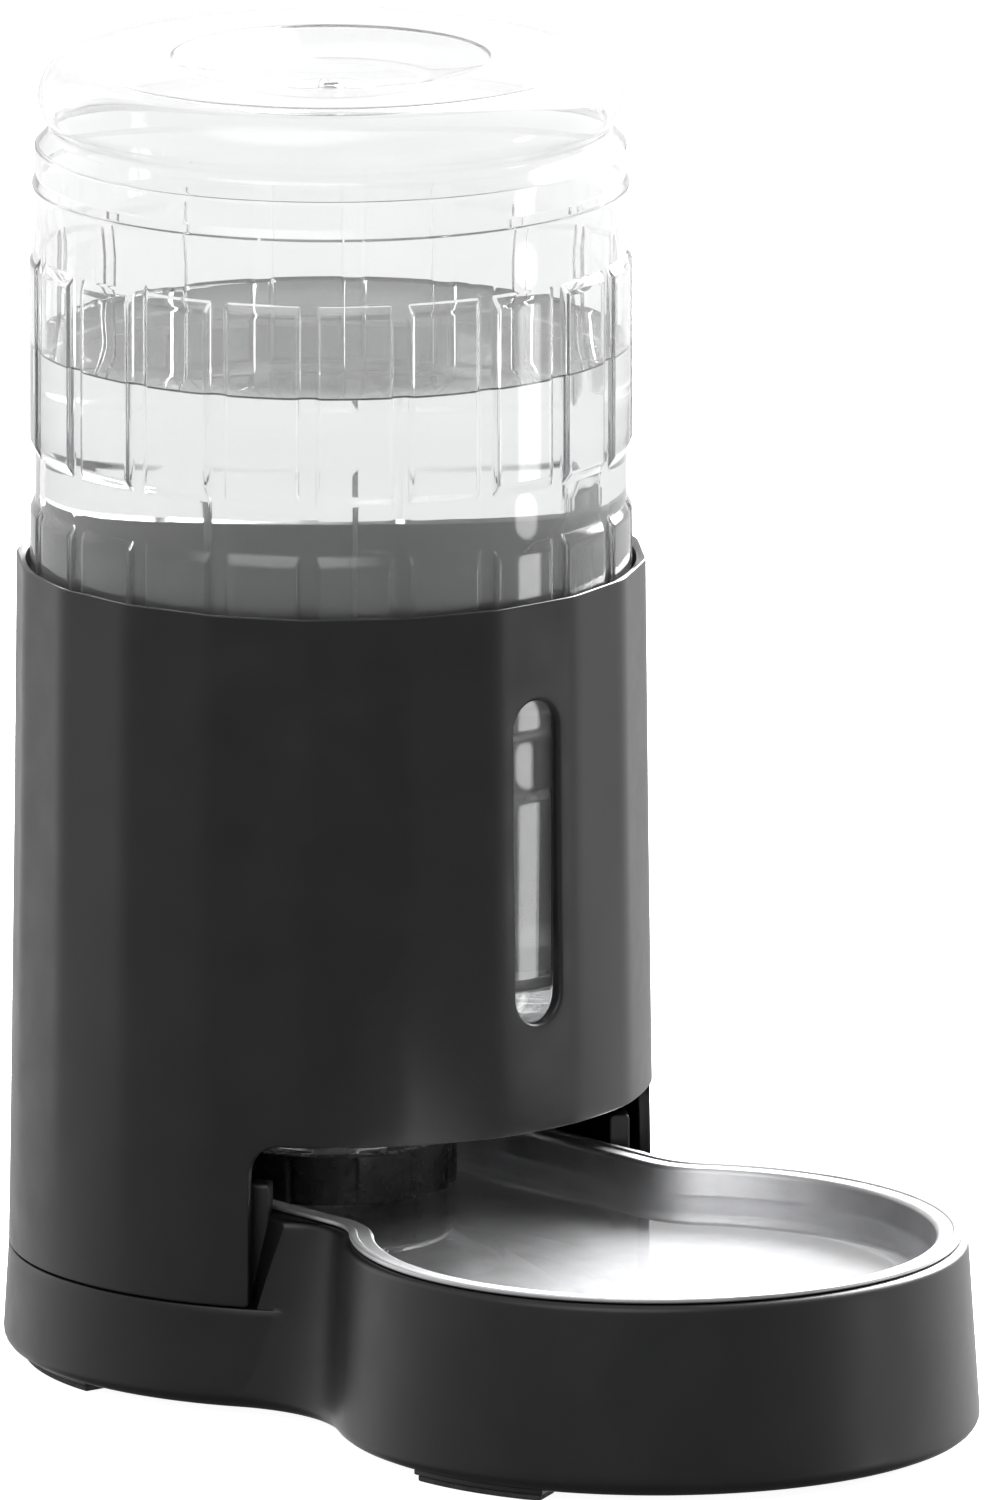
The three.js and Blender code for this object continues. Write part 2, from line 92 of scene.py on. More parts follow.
TUB_BOTTOM = 3.0
TUB_TOP = 54.0
TUB_EDGE = 4.0
TUB_WALL = 3.0
TUB_BOWL_R = 85.9
RIM_MARGIN = 1.9                          # of the tub round the pan
WAIST_R = 38.0
WAIST_BLEND = 12.0                        # fillet between the waist and the tower's round
KNEE_Y = 28.0
FLANK_KNEE = 2.8                          # how far the flanks stand out there
SPIGOT_R = 79.5
SPIGOT_WALL = 3.0
SPIGOT_TOP = 63.0
POST_WALL = 5.4
POST_SPAN = 3.8
FOOT_INNER_R, FOOT_OUTER_R = 71.0, 83.0
FOOT_SPAN = 29.0

CASING_R_TOP = 84.0
CASING_BORE_R = 81.1
FACETS = 20
FACET_HALF = 7.2                          # degrees from a facet's middle to its rounding
CUTOUT_HALF_ANGLE = 55.4
CUTOUT_TOP = 74.2
CUTOUT_CORNER = 8.0
SLOT_WIDTH = 15.5
SLOT_LOW, SLOT_HIGH = 103.3, 190.5
RIM_LEAN = 0.75                           # fall of the casing's rim from outside to inside

PAN_SIDE = 57.8
PAN_FILLET = 20.0
PAN_FLANGE = 5.6

BAND_R = 78.6
SHOULDER_TOP, BODY_TOP = 101.0, 315.2
BEAD_RADIUS, BEAD_MIDDLE_R = 10.3, 67.4
BOTTLE_WALL = 1.2
PANELS = 20
PANEL_HALF_ANGLE = 7.45
PANEL_HEIGHT = 53.8
PANEL_PITCH = 67.45
PANEL_ROWS = 3
FIRST_PANEL_LOW = 111.4
CAP_GROOVES = 12

BOTTLE_WATER_Z = 274.8
BOWL_WATER_Z = 47.3


# ---- Paths ---------------------------------------------------------------------------------


def filleted(corners, steps=6, closed=False):
    """Polyline through (x, y, radius) corners, each rounded by an arc of that radius."""
    out = []
    count = len(corners)
    for i, (x, y, radius) in enumerate(corners):
        here = np.array([x, y], float)
        if radius <= 0 or (not closed and i in (0, count - 1)):
            out.append(here)
            continue
        back = np.array(corners[i - 1][:2], float) - here
        on = np.array(corners[(i + 1) % count][:2], float) - here
        back_len, on_len = np.linalg.norm(back), np.linalg.norm(on)
        back, on = back / back_len, on / on_len
        half = math.acos(np.clip(back @ on, -1, 1)) / 2
        if half > math.radians(89.5):
            out.append(here)
            continue
        reach = min(radius / math.tan(half), 0.49 * back_len, 0.49 * on_len)
        radius = reach * math.tan(half)
        middle = here + (back + on) / np.linalg.norm(back + on) * (radius / math.sin(half))
        start, stop = here + back * reach - middle, here + on * reach - middle
        turn = math.pi - 2 * half
        for t in np.linspace(0, 1, steps + 1):
            a = math.sin((1 - t) * turn) / math.sin(turn)
            b = math.sin(t * turn) / math.sin(turn)
            out.append(middle + start * a + stop * b)
    return out


def dense(points, step):
    """The same polyline with no stretch longer than step."""
    out = [np.array(points[0], float)]
    for a, b in zip(points, points[1:]):
        a, b = np.array(a, float), np.array(b, float)
        parts = max(1, math.ceil(np.linalg.norm(b - a) / step))
        out += [a + (b - a) * i / parts for i in range(1, parts + 1)]
    return out


def within(points, outline):
    """Which of the flat points lie inside the closed outline."""
    inside = np.zeros(len(points), bool)
    x, y = points[:, 0], points[:, 1]
    for (ax, ay), (bx, by) in zip(outline, np.roll(outline, -1, axis=0)):
        if ay != by:
            inside ^= ((ay > y) != (by > y)) & (x < (bx - ax) * (y - ay) / (by - ay) + ax)
    return inside


def on_round(centre_y, radius, angle):
    """Point at that angle on a round with its centre on the plane of symmetry."""
    a = math.radians(angle)
    return (radius * math.sin(a), centre_y - radius * math.cos(a))


def keyhole(rear_r, bowl_r, waist, knee=0.0):
    """Outline from above: the bowl's round, a concave waist, flanks and a round back. The
    flanks may keep a little outside their straight line, as far back as the knee."""
    centre_x, centre_y, waist_r, bowl_turn, rear_turn = waist
    bowl = [on_round(BOWL_Y, bowl_r, a) for a in np.linspace(-bowl_turn, bowl_turn, 121)]
    right = []
    for turn in np.linspace(bowl_turn, rear_turn, 25)[1:]:
        a = math.radians(turn)
        right.append((centre_x - waist_r * math.sin(a), centre_y + waist_r * math.cos(a)))
    for stop in ((rear_r + knee, KNEE_Y), (rear_r, TOWER_Y)):
        start = np.array(right[-1])
        right += [tuple(start * (1 - t) + np.array(stop) * t) for t in np.linspace(0, 1, 7)[1:]]
    right.pop()
    back = [on_round(TOWER_Y, rear_r, a) for a in np.linspace(90, 270, 61)]
    left = [(-x, y) for x, y in reversed(right)]
    return np.array(bowl + right + back + left)


def pan_outline(offset):
    """The pan's outline, grown outwards by offset."""
    x = PAN_SIDE + PAN_FILLET
    forward = math.sqrt((PAN_BOWL_R + PAN_FILLET) ** 2 - x ** 2)
    bowl_turn = math.degrees(math.atan2(x, -forward))
    waist = (x, BOWL_Y + forward, PAN_FILLET - offset, bowl_turn, 90)
    return keyhole(PAN_SIDE + offset, PAN_BOWL_R + offset, waist)


def tangent_waist(tower_r, bowl_r, waist_r):
    """The concave round that touches both the tower's round and the bowl's."""
    to_tower, to_bowl = tower_r + waist_r, bowl_r + waist_r
    spacing = TOWER_Y - BOWL_Y
    forward = (to_tower ** 2 - to_bowl ** 2 + spacing ** 2) / (2 * spacing)
    x = math.sqrt(to_tower ** 2 - forward ** 2)
    bowl_turn = math.degrees(math.atan2(x, forward - spacing))
    rear_turn = math.degrees(math.atan2(x, forward))
    return (x, TOWER_Y - forward, waist_r, bowl_turn, rear_turn)


def foot_outline(inset, rear_r, knee=0.0):
    """The tub's outline at the bottom, pulled in by inset; its waist meets both rounds."""
    waist = tangent_waist(BASE_R - inset, TUB_BOWL_R - inset, WAIST_R + inset)
    return keyhole(rear_r, TUB_BOWL_R - inset, waist, knee)


# ---- Meshes --------------------------------------------------------------------------------


def object_from(name, bm, sharp=35):
    """Object from the mesh being built, which is used up. Edges above sharp degrees stay so."""
    bmesh.ops.remove_doubles(bm, verts=bm.verts, dist=1e-6)
    bmesh.ops.dissolve_degenerate(bm, edges=bm.edges, dist=1e-7)
    bmesh.ops.recalc_face_normals(bm, faces=bm.faces)
    mesh = bpy.data.meshes.new(name)
    bm.to_mesh(mesh)
    bm.free()
    mesh.shade_smooth()
    mesh.set_sharp_from_angle(angle=math.radians(sharp))
    obj = bpy.data.objects.new(name, mesh)
    bpy.context.scene.collection.objects.link(obj)
    return obj


def add_skin(bm, rings, closed=False):
    """Closed body through a stack of rings of (x, y, z) points. A ring that shrinks to one
    point is a pole; other end rings are filled flat, unless closed joins last to first."""
    loops = []
    for ring in rings:
        ring = np.asarray(ring, float) * MM
        if np.ptp(ring, axis=0).max() < 1e-7:
            loops.append([bm.verts.new(ring[0])])
        else:
            loops.append([bm.verts.new(p) for p in ring])
    pairs = list(zip(loops, loops[1:]))
    if closed:
        pairs.append((loops[-1], loops[0]))
    for low, high in pairs:
        count = max(len(low), len(high))
        for i in range(count):
            j = (i + 1) % count
            corners = []
            for loop, k in ((low, i), (low, j), (high, j), (high, i)):
                vert = loop[k % len(loop)]
                if vert not in corners:
                    corners.append(vert)
            if len(corners) > 2:
                bm.faces.new(corners)
    if not closed:
        for loop in (loops[0], loops[-1]):
            if len(loop) > 1:
                bm.faces.new(loop)


def loft(levels):
    """Rings from (height, outline) pairs."""
    return [np.column_stack([outline, np.full(len(outline), z)]) for z, outline in levels]


def lathe(profile, columns, swell=None):
    """Rings of a body turned round the tower's axis, from (radius, height) points. columns is
    a number or the angles themselves. swell(angles, height, radius) is added to the radius."""
    angles = np.arange(columns) * 360 / columns if isinstance(columns, int) else columns
    turn = np.radians(angles)
    rings = []
    for radius, z in profile:
        r = np.full(len(angles), float(radius))
        if swell is not None and radius > 1:
            r = r + swell(angles, z, radius)
        rings.append(np.column_stack([
            r * np.sin(turn), TOWER_Y - r * np.cos(turn), np.full(len(angles), z),
        ]))
    return rings


def piece(name, *skins, closed=False, sharp=35):
    """Object from one or more stacks of rings."""
    bm = bmesh.new()
    for rings in skins:
        add_skin(bm, rings, closed)
    return object_from(name, bm, sharp)


def arc_bar(centre_y, middle, span, section, steps):
    """Rings of a bar with that (radius, height) section, bent round a vertical axis."""
    rings = []
    for angle in np.linspace(middle - span / 2, middle + span / 2, steps + 1):
        ring = []
        for radius, z in section:
            x, y = on_round(centre_y, radius, angle)
            ring.append((x, y, z))
        rings.append(ring)
    return rings


def rounded_box(inner, outer, low, high, radius):
    """Section of a bar with rounded corners."""
    return filleted([
        (inner, low, radius), (outer, low, radius), (outer, high, radius),
        (inner, high, radius),
    ], 4, closed=True)


def boolean(target, cutter, operation):
    """Joins or cuts target with cutter, which is used up."""
    modifier = target.modifiers.new(operation, "BOOLEAN")
    modifier.operation = operation
    modifier.solver = "MANIFOLD"
    modifier.object = cutter
    graph = bpy.context.evaluated_depsgraph_get()
    mesh = bpy.data.meshes.new_from_object(target.evaluated_get(graph))
    target.modifiers.clear()
    target.data = mesh
    bpy.data.objects.remove(cutter, do_unlink=True)


# ---- Materials -----------------------------------------------------------------------------


class Look:
    """A Principled material with procedural detail in object space."""

    def __init__(self, name, **values):
        self.material = bpy.data.materials.new(name)
        self.material.use_nodes = True
        tree = self.material.node_tree
        self.nodes, self.links = tree.nodes, tree.links
        self.shader = next(n for n in self.nodes if n.type == "BSDF_PRINCIPLED")
        for key, value in values.items():
            self.shader.inputs[key.replace("_", " ")].default_value = value
        self.place = self.nodes.new("ShaderNodeTexCoord").outputs["Object"]

    def noise(self, per_mm, detail):
        """Noise with that many features a millimetre."""
        node = self.nodes.new("ShaderNodeTexNoise")
        node.inputs["Scale"].default_value = per_mm / MM
        node.inputs["Detail"].default_value = detail
        self.links.new(self.place, node.inputs["Vector"])
        return node.outputs["Fac"]

    def vary(self, socket, factor, low, high):
        """Drives a number on the shader between low and high."""
        node = self.nodes.new("ShaderNodeMapRange")
        node.inputs["From Min"].default_value = 0.3
        node.inputs["From Max"].default_value = 0.7
        node.inputs["To Min"].default_value = low
        node.inputs["To Max"].default_value = high
        self.links.new(factor, node.inputs["Value"])
        self.links.new(node.outputs["Result"], self.shader.inputs[socket])

    def tint(self, factor, dark, light):
        """Drives the base colour between two colours."""
        node = self.nodes.new("ShaderNodeValToRGB")
        ramp = node.color_ramp
        ramp.elements[0].position, ramp.elements[1].position = 0.3, 0.7
        ramp.elements[0].color, ramp.elements[1].color = (*dark, 1), (*light, 1)
        self.links.new(factor, node.inputs["Fac"])
        self.links.new(node.outputs["Color"], self.shader.inputs["Base Color"])

    def bump(self, factor, depth_mm, strength):
        """Adds relief of that depth."""
        node = self.nodes.new("ShaderNodeBump")
        node.inputs["Strength"].default_value = strength
        node.inputs["Distance"].default_value = depth_mm * MM
        self.links.new(factor, node.inputs["Height"])
        self.links.new(node.outputs["Normal"], self.shader.inputs["Normal"])


def black_plastic():
    look = Look("moulded_black_plastic", Specular_IOR_Level=0.5)
    look.tint(look.noise(0.05, 4), (0.0029, 0.0029, 0.0031), (0.0045, 0.0045, 0.0048))
    look.vary("Roughness", look.noise(0.09, 4), 0.33, 0.40)
    look.bump(look.noise(2.2, 3), 0.012, 0.35)
    return look.material


def gloss_black():
    look = Look("glossy_black_plastic", Specular_IOR_Level=0.3)
    look.tint(look.noise(0.1, 3), (0.004, 0.004, 0.0044), (0.007, 0.007, 0.0074))
    look.vary("Roughness", look.noise(0.3, 3), 0.22, 0.30)
    look.bump(look.noise(1.2, 2), 0.002, 0.3)
    return look.material


def stainless():
    look = Look("satin_stainless_steel", Metallic=1.0)
    look.tint(look.noise(0.08, 4), (0.60, 0.60, 0.61), (0.70, 0.70, 0.71))
    look.vary("Roughness", look.noise(1.6, 3), 0.42, 0.52)
    look.bump(look.noise(1.1, 3), 0.010, 0.6)
    return look.material


def clear_plastic():
    """The bottle's plastic, with a slight haze."""
    look = Look("clear_bottle_plastic", Transmission_Weight=0.96, IOR=1.46, Roughness=0.0)
    look.tint(look.noise(0.02, 2), (0.968, 0.971, 0.972), (0.978, 0.980, 0.981))
    look.bump(look.noise(0.035, 2), 0.05, 0.25)
    return look.material


def water():
    look = Look("water", Transmission_Weight=1.0, IOR=1.333, Roughness=0.0)
    look.tint(look.noise(0.01, 1), (0.985, 0.99, 0.992), (0.995, 0.997, 1))
    return look.material


def rubber():
    look = Look("foot_rubber", Specular_IOR_Level=0.4)
    look.tint(look.noise(0.3, 3), (0.010, 0.010, 0.010), (0.022, 0.022, 0.022))
    look.vary("Roughness", look.noise(1.5, 2), 0.55, 0.8)
    look.bump(look.noise(2.5, 2), 0.03, 0.5)
    return look.material


def white_plastic():
    look = Look("white_valve_plastic")
    look.tint(look.noise(0.2, 3), (0.74, 0.74, 0.72), (0.82, 0.82, 0.80))
    look.vary("Roughness", look.noise(0.8, 2), 0.32, 0.45)
    look.bump(look.noise(2.0, 2), 0.01, 0.4)
    return look.material


def silicone():
    look = Look("seal_silicone")
    look.tint(look.noise(0.3, 2), (0.50, 0.51, 0.51), (0.60, 0.61, 0.60))
    look.vary("Roughness", look.noise(1.0, 2), 0.5, 0.7)
    look.bump(look.noise(1.5, 2), 0.01, 0.4)
    return look.material


def plated_steel(name, low, high):
    look = Look(name, Metallic=1.0)
    look.tint(look.noise(0.6, 3), (0.50, 0.50, 0.50), (0.62, 0.62, 0.61))
    look.vary("Roughness", look.noise(2.0, 3), low, high)
    look.bump(look.noise(3.0, 2), 0.008, 0.4)
    return look.material


PLASTIC = black_plastic()
GLOSS = gloss_black()
STEEL = stainless()
CLEAR = clear_plastic()
WATER = water()
RUBBER = rubber()
WHITE = white_plastic()
SILICONE = silicone()
SCREW = plated_steel("zinc_plated_steel", 0.30, 0.45)
SPRING = plated_steel("spring_steel", 0.20, 0.32)


def show(obj, material, body, replaces=()):
    """Gives a finished piece its material and its place in the frame."""
    obj.data.materials.clear()
    obj.data.materials.append(material)
    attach(obj, body)
    if replaces:
        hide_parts(*replaces)
    return obj


# ---- Base tub ------------------------------------------------------------------------------


def quarter(radius):
    """(inset, rise) pairs that round a bottom edge, from the flat up to the wall."""
    turns = np.linspace(0, math.pi / 2, 7)
    return [(radius * (1 - math.sin(t)), radius * (1 - math.cos(t))) for t in turns]


def tower_outline(radius, waist):
    """The tower's round from above, with a fillet on each side where it meets the waist."""
    blend = WAIST_BLEND
    waist_r, waist_middle = waist[2], np.array(waist[:2])
    tower = np.array([0, TOWER_Y])
    spacing = np.linalg.norm(waist_middle - tower)
    along = (waist_middle - tower) / spacing
    to_tower, to_waist = radius + blend, waist_r - blend
    run = (to_tower ** 2 - to_waist ** 2 + spacing ** 2) / (2 * spacing)
    rise = math.sqrt(max(to_tower ** 2 - run ** 2, 1e-6))
    middle = tower + along * run + np.array([along[1], -along[0]]) * rise
    on_tower, on_waist = (tower - middle) / to_tower, (middle - waist_middle) / to_waist
    start = math.degrees(math.atan2(-on_tower[0], on_tower[1]))
    back = [on_round(TOWER_Y, radius, t) for t in np.linspace(start, 360 - start, 161)[1:-1]]
    turn = max(math.acos(np.clip(on_waist @ on_tower, -1, 1)), 1e-4)
    right = [middle + on_waist * (blend + 6), middle + on_waist * (blend + 0.4)]
    for t in np.linspace(0, 1, 15):
        way = (on_waist * math.sin((1 - t) * turn) + on_tower * math.sin(t * turn))
        right.append(middle + way / math.sin(turn) * blend)
    left = [(-x, y) for x, y in reversed(right)]
    return np.array([tuple(q) for q in right] + back + left)


def build_tub():
    """The tower's foot is hollowed, joined to the flanks and the bowl, and then the well for
    the pan is cut. The spigot and its two end posts stand on the foot."""
    well_r = PAN_SIDE + RIM_MARGIN
    wall_low, wall_high = TUB_BOTTOM + TUB_EDGE, TUB_TOP - RIM_MARGIN
    rim_x = PAN_SIDE + PAN_FILLET
    rim_y = BOWL_Y + math.sqrt((PAN_BOWL_R + PAN_FILLET) ** 2 - rim_x ** 2)
    rim_rear = math.hypot(rim_x, rim_y - TOWER_Y) - PAN_FILLET + RIM_MARGIN

    def tower_r(z):
        return BASE_R + (JOINT_R - BASE_R) * (z - wall_low) / (JOINT_Z - wall_low)

    def rounds_at(z):
        """Bowl radius and waist of the flanks at that height. Towards the joint the waist
        comes to lie slightly inside the tower's round."""
        t = (z - wall_low) / (wall_high - wall_low)
        bowl_r = TUB_BOWL_R + (PAN_BOWL_R + RIM_MARGIN - TUB_BOWL_R) * t
        waist_r = WAIST_R + (PAN_FILLET - RIM_MARGIN - WAIST_R) * t
        below = min(1, (z - wall_low) / (JOINT_Z - wall_low))
        above = max(0, (z - JOINT_Z) / (wall_high - JOINT_Z))
        rear = tower_r(min(z, JOINT_Z)) - 0.9 * below
        return bowl_r, tangent_waist(rear + (rim_rear - rear) * above, bowl_r, waist_r)

    def flank_at(z, inset=0):
        bowl_r, (x, y, waist_r, *turns) = rounds_at(z)
        return keyhole(well_r, bowl_r - inset, (x, y, waist_r + inset, *turns), FLANK_KNEE)

    edge = [(TUB_BOTTOM + rise, inset) for inset, rise in quarter(TUB_EDGE)]
    levels = []
    for z, inset in edge:
        waist = tangent_waist(BASE_R - inset, TUB_BOWL_R - inset, WAIST_R + inset)
        levels.append((z, tower_outline(BASE_R - inset, waist)))
    for z in np.linspace(wall_low, JOINT_Z - 0.5, 16)[1:]:
        levels.append((z, tower_outline(tower_r(z), rounds_at(z)[1])))
    for z, inset in ((JOINT_Z - 0.2, 0.12), (JOINT_Z, 0.45)):
        levels.append((z, tower_outline(tower_r(z) - inset, rounds_at(z)[1])))
    tub = piece("tub_shell", loft(levels))
    floor = TUB_BOTTOM + TUB_WALL
    spigot_inner = SPIGOT_R - SPIGOT_WALL
    hollow = [(0, floor), (JOINT_R - TUB_WALL, floor), (JOINT_R - TUB_WALL, JOINT_Z - TUB_WALL),
              (spigot_inner, JOINT_Z - TUB_WALL), (spigot_inner, JOINT_Z + 1), (0, JOINT_Z + 1)]
    boolean(tub, piece("hollow", lathe(hollow, 160)), "DIFFERENCE")

    levels = [(z, foot_outline(inset, well_r, FLANK_KNEE)) for z, inset in edge]
    levels += [(z, flank_at(z)) for z in np.linspace(wall_low, wall_high, 31)[1:]]
    for inset, rise in reversed(quarter(RIM_MARGIN)[:-1]):
        levels.append((TUB_TOP - rise, flank_at(wall_high, inset)))
    levels.append((TUB_TOP, pan_outline(-1.0)))
    boolean(tub, piece("flank", loft(levels)), "UNION")

    low = foot_outline(TUB_WALL + 2, PAN_SIDE - 2)
    high = pan_outline(-2)
    well = [(floor, foot_outline(TUB_WALL + 5, PAN_SIDE - 5)),
            (floor + 0.9, foot_outline(TUB_WALL + 2.9, PAN_SIDE - 2.9))]
    for t in np.linspace(0.06, 1, 10):
        well.append((floor + (TUB_TOP + 1 - floor) * t, low * (1 - t) + high * t))
    boolean(tub, piece("well", loft(well)), "DIFFERENCE")
    tub.data.shade_smooth()
    tub.data.set_sharp_from_angle(angle=math.radians(32))
    show(tub, PLASTIC, "base", ["base_tub"])

    spigot_low = JOINT_Z - 1
    span = 360 - 2 * CUTOUT_HALF_ANGLE
    ring = rounded_box(spigot_inner, SPIGOT_R, spigot_low, SPIGOT_TOP, 1.0)
    spigot = piece("tub_spigot", arc_bar(TOWER_Y, 180, span, ring, 120))
    show(spigot, PLASTIC, "base")
    for side, label in ((1, "right"), (-1, "left")):
        middle = side * (CUTOUT_HALF_ANGLE - 0.9)
        section = rounded_box(SPIGOT_R - POST_WALL, SPIGOT_R + 0.05, spigot_low,
                              SPIGOT_TOP + 0.1, 1.6)
        post = piece(f"tub_post_{label}", arc_bar(TOWER_Y, middle, POST_SPAN, section, 8))
        round_edges(post, 0.8, 3)
        show(post, PLASTIC, "base")


def round_edges(obj, width_mm, segments=2):
    bevel = obj.modifiers.new("rounded", "BEVEL")
    bevel.width = width_mm * MM
    bevel.segments = segments
    bevel.limit_method = "ANGLE"
    bevel.angle_limit = math.radians(40)


FEET = {                                  # centre of the foot's round and middle angle
    "foot_rear_right": (TOWER_Y, 107), "foot_rear_left": (TOWER_Y, -107),
    "foot_front_right": (BOWL_Y, 76.5), "foot_front_left": (BOWL_Y, -76.5),
}


def build_feet():
    """Each foot is a boss moulded on the tub with a rubber pad under it."""
    for name, (centre_y, angle) in FEET.items():
        pad_top = box_mm(name)[1].z
        boss = rounded_box(FOOT_INNER_R, FOOT_OUTER_R, pad_top + 0.3, TUB_BOTTOM + 0.8, 0.35)
        body = piece(name.replace("foot", "boss"),
                     arc_bar(centre_y, angle, FOOT_SPAN, boss, 24))
        round_edges(body, 0.5, 3)
        show(body, PLASTIC, "base")
        section = rounded_box(FOOT_INNER_R + 0.7, FOOT_OUTER_R - 0.7, 0, pad_top + 0.3, 0.6)
        pad = piece(name + "_pad", arc_bar(centre_y, angle, FOOT_SPAN - 1.1, section, 24))
        round_edges(pad, 0.5, 3)
        show(pad, RUBBER, "base", [name])


# ---- Pan and its water ---------------------------------------------------------------------

WALL_START = (-PAN_FLANGE - 1.0, PAN_TOP - 1.6)
PAN_INSIDE = filleted([                   # (offset from the outline, height)
    (-PAN_FLANGE - 0.2, PAN_TOP - 0.5, 0), (*WALL_START, 1.2),
    (-8.9, PAN_FLOOR + 4.4, 7), (-13.6, PAN_FLOOR, 6), (-24, PAN_FLOOR, 0),
], 10)


def build_pan():
    """Pressed sheet: down the outside, over the rim's bead and down the inside."""
    rest = TUB_TOP + 0.3
    flange = PAN_TOP - 0.5
    floor_low = PAN_FLOOR - PAN_SHEET
    outer = filleted([
        (-30, floor_low, 0), (-24, floor_low, 0), (-12.4, floor_low, 6),
        (-8.0, PAN_FLOOR + 4.5, 7), (-4.9, rest - 0.8, 3), (-4.6, rest, 0.5), (-0.2, rest, 0.3),
        (0, rest + 0.4, 0.2), (0, PAN_TOP, 0.75), (-1.9, PAN_TOP, 0.7),
        (-2.2, flange, 0.35), (-PAN_FLANGE + 0.3, flange, 0),
    ], 6)
    inner = [(-PAN_FLANGE, flange)] + [tuple(p) for p in PAN_INSIDE[1:]] + [(-30, PAN_FLOOR)]
    inner[1] = (-PAN_FLANGE - 0.45, flange - 0.25)
    section = dense([tuple(p) for p in outer] + inner, 2.5)
    pan = piece("pan_sheet", loft([(z, pan_outline(offset)) for offset, z in section]),
                sharp=60)
    show(pan, STEEL, "pan", ["pan"])


def build_bowl_water():
    """Water that stands in the pan, with the slight climb of its edge up the steel. Its surface
    stands at the height of the cap's mouth, which sets the level; the water is carried with the
    pan."""
    into_wall = 0.25
    wall = [(offset, z) for offset, z in reversed(PAN_INSIDE) if z < BOWL_WATER_Z - 0.2]
    levels = [(PAN_FLOOR - 0.15, pan_outline(-29)), (PAN_FLOOR - 0.15, pan_outline(-24))]
    levels += [(z - 0.1, pan_outline(offset + into_wall)) for offset, z in wall[1:]]
    last = wall[-1]

    def wall_at(z):
        t = (z - last[1]) / (WALL_START[1] - last[1])
        return last[0] + (WALL_START[0] - last[0]) * t + into_wall

    for z in (BOWL_WATER_Z - 1, BOWL_WATER_Z + 0.9):
        levels.append((z, pan_outline(wall_at(z))))
    edge = wall_at(BOWL_WATER_Z)
    for back, climb in ((0.7, 0.55), (1.3, 0.25), (2.2, 0.06), (3.5, 0), (6, 0)):
        levels.append((BOWL_WATER_Z + climb, pan_outline(edge - back)))
    bowl_water = show(piece("bowl_water", loft(levels), sharp=70), WATER, "pan")
    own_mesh(bowl_water)


# ---- Casing --------------------------------------------------------------------------------

MM_PER_DEGREE = JOINT_R * math.pi / 180


def casing_radius(angle, z):
    """Outer radius: flat facets near the top that fade into a circle at the bottom."""
    pitch = 360 / FACETS
    turn = np.abs((np.asarray(angle) + pitch / 2) % pitch - pitch / 2)
    rise = np.clip((np.asarray(z) - JOINT_Z) / (CASING_TOP - JOINT_Z), 0, 1)
    corner = JOINT_R + (CASING_R_TOP - JOINT_R) * rise
    flat = math.cos(math.radians(pitch / 2))
    held = np.radians(np.minimum(turn, FACET_HALF))
    past = np.radians(np.maximum(turn - FACET_HALF, 0))
    length = math.radians(pitch / 2 - FACET_HALF)
    slope = flat * np.sin(held) / np.cos(held) ** 2
    facet = flat / np.cos(held) + slope * (past - past ** 2 / (2 * length))
    return corner * (1 + (facet - 1) * np.minimum(1, rise * 1.6))


def casing_bore(z):
    """Inner radius, which widens a little towards the foot."""
    return CASING_BORE_R + 2 * np.clip((100 - np.asarray(z)) / 70, 0, 1)


def inward(points, closed):
    """Unit normals towards the material, which lies left of the way along the line."""
    p = np.array(points)
    if closed:
        along = np.roll(p, -1, 0) - np.roll(p, 1, 0)
    else:
        along = np.gradient(p, axis=0)
    along /= np.linalg.norm(along, axis=1)[:, None]
    return np.column_stack([-along[:, 1], along[:, 0]])


def wrap(flat, depth, from_inside=False):
    """Points of the flat wall, wrapped to the casing's outer or inner side."""
    angle, z = flat[:, 0] / MM_PER_DEGREE, flat[:, 1]
    if from_inside:
        radius = casing_bore(z) + depth
    else:
        radius = casing_radius(angle, z) - depth
    turn = np.radians(angle)
    return np.column_stack([radius * np.sin(turn), TOWER_Y - radius * np.cos(turn), z])


